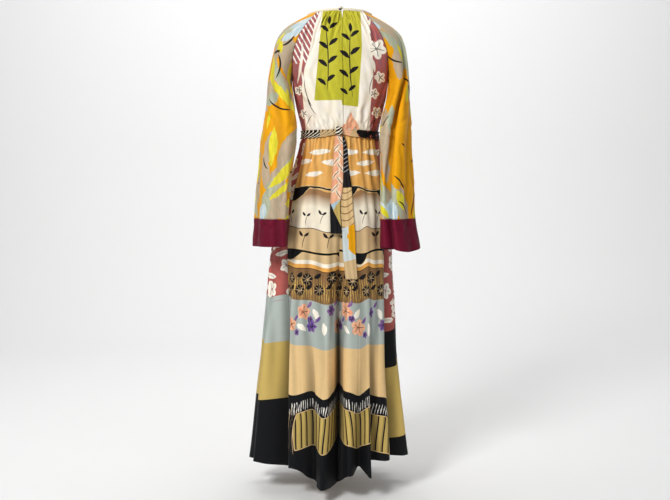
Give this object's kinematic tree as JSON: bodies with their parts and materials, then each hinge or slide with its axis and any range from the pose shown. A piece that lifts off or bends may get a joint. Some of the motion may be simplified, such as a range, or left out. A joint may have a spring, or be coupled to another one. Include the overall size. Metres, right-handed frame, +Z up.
{
  "type": "maxi dress",
  "caption": "Long-sleeved maxi dress in its worn, hollow form: gathered bodice with a back keyhole, raglan sleeves with wide cuffs, a long fluted skirt and a sash tied at the back.",
  "frame": {"origin": "middle of the neck opening, level with the top of the back neckline, where the wearer holds the dress up", "axes": "+Z up, +X the wearer's right, +Y the wearer's front, so the back with the keyhole and the sash's knot faces -Y"},
  "size_m": [0.5372, 0.4104, 1.4698],
  "materials": {
    "bodice": "printed crepe, soft matt",
    "sleeve": "printed crepe, soft matt",
    "cuff": "plain crepe, soft matt",
    "binding": "plain crepe strip, pressed",
    "button": "covered in smooth cloth",
    "loop": "thin sewn cord",
    "skirt": "printed crepe, soft matt",
    "skirt_side": "printed crepe, soft matt",
    "sash": "printed crepe, pressed double"
  },
  "bodies": {
    "root": {"bodice_back_left": "bodice", "bodice_back_right": "bodice", "bodice_front": "bodice", "sleeve_left": "sleeve", "sleeve_right": "sleeve", "cuff_left": "cuff", "cuff_right": "cuff", "neck_binding": "binding", "button": "button", "button_loop": "loop", "skirt_back_left": "skirt", "skirt_back_right": "skirt", "skirt_side_left": "skirt_side", "skirt_side_right": "skirt_side", "skirt_front": "skirt", "belt": "sash", "belt_knot": "sash", "belt_tail_left": "sash", "belt_tail_right": "sash"}
  },
  "joints": []
}
